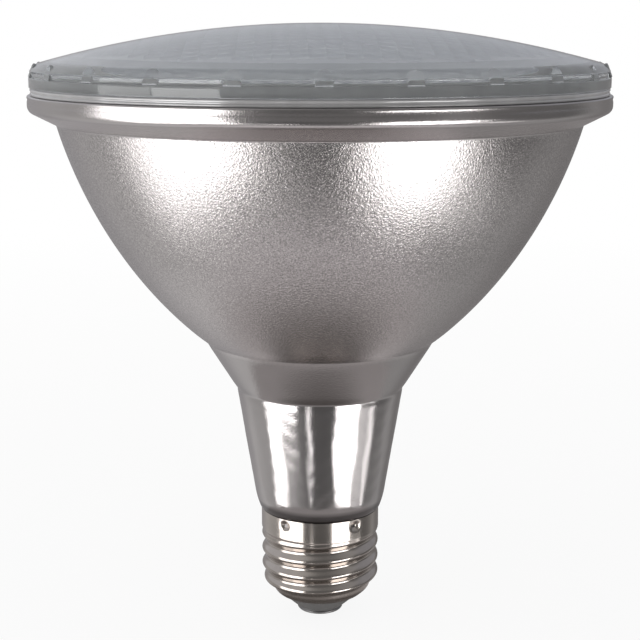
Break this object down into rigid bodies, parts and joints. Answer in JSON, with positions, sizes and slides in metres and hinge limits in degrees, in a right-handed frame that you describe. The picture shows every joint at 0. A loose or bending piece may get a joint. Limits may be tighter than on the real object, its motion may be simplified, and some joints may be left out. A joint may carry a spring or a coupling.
{
  "type": "par spotlight bulb",
  "caption": "Reflector spotlight bulb: pressed glass body, domed prismatic lens, quartz burner inside, screw cap with a centre contact.",
  "frame": {"origin": "tip of the centre contact, on the lamp's axis, which is the lowest point of the part", "axes": "+Z along the lamp's axis from the screw cap to the lens; the picture looks along +Y, a little down; the two leads lie in the XZ plane"},
  "size_m": [0.121, 0.121, 0.1315],
  "materials": {
    "lens_glass": "clear pressed glass, smooth outside, prisms inside",
    "silvered_glass": "pressed glass with a mirror coating inside, satin grey outside",
    "cement": "grey cured cement, satin",
    "nickel_shell": "nickel-plated, bright, slightly warm",
    "cap_glass": "dark fused glass insulator, satin",
    "contact_metal": "tinned, dull grey",
    "solder": "dull grey solder",
    "quartz": "clear fused quartz",
    "tube_glass": "clear glass tube",
    "ferrule_metal": "drawn nickel-iron, satin",
    "lead_metal": "drawn wire, satin",
    "foil_metal": "thin rolled foil, satin",
    "tungsten": "dark grey drawn wire",
    "copper_wire": "tinned copper wire",
    "sleeve_fibre": "woven glass fibre sleeve"
  },
  "bodies": {
    "root": {"front_lens": "lens_glass", "rim_seal": "cement", "reflector_body": "silvered_glass", "ferrule_left": "ferrule_metal", "ferrule_right": "ferrule_metal", "exhaust_tube": "tube_glass", "support_lead_left": "lead_metal", "support_lead_right": "lead_metal", "burner_envelope": "quartz", "burner_foil_left": "foil_metal", "burner_foil_right": "foil_metal", "burner_pin_left": "lead_metal", "burner_pin_right": "lead_metal", "burner_filament": "tungsten", "neck_lead_centre": "copper_wire", "neck_lead_side": "copper_wire", "fuse_sleeve": "sleeve_fibre", "shell_joint": "solder", "cap_shell": "nickel_shell", "cap_insulator": "cap_glass", "centre_contact": "contact_metal", "contact_solder": "solder"}
  },
  "joints": []
}
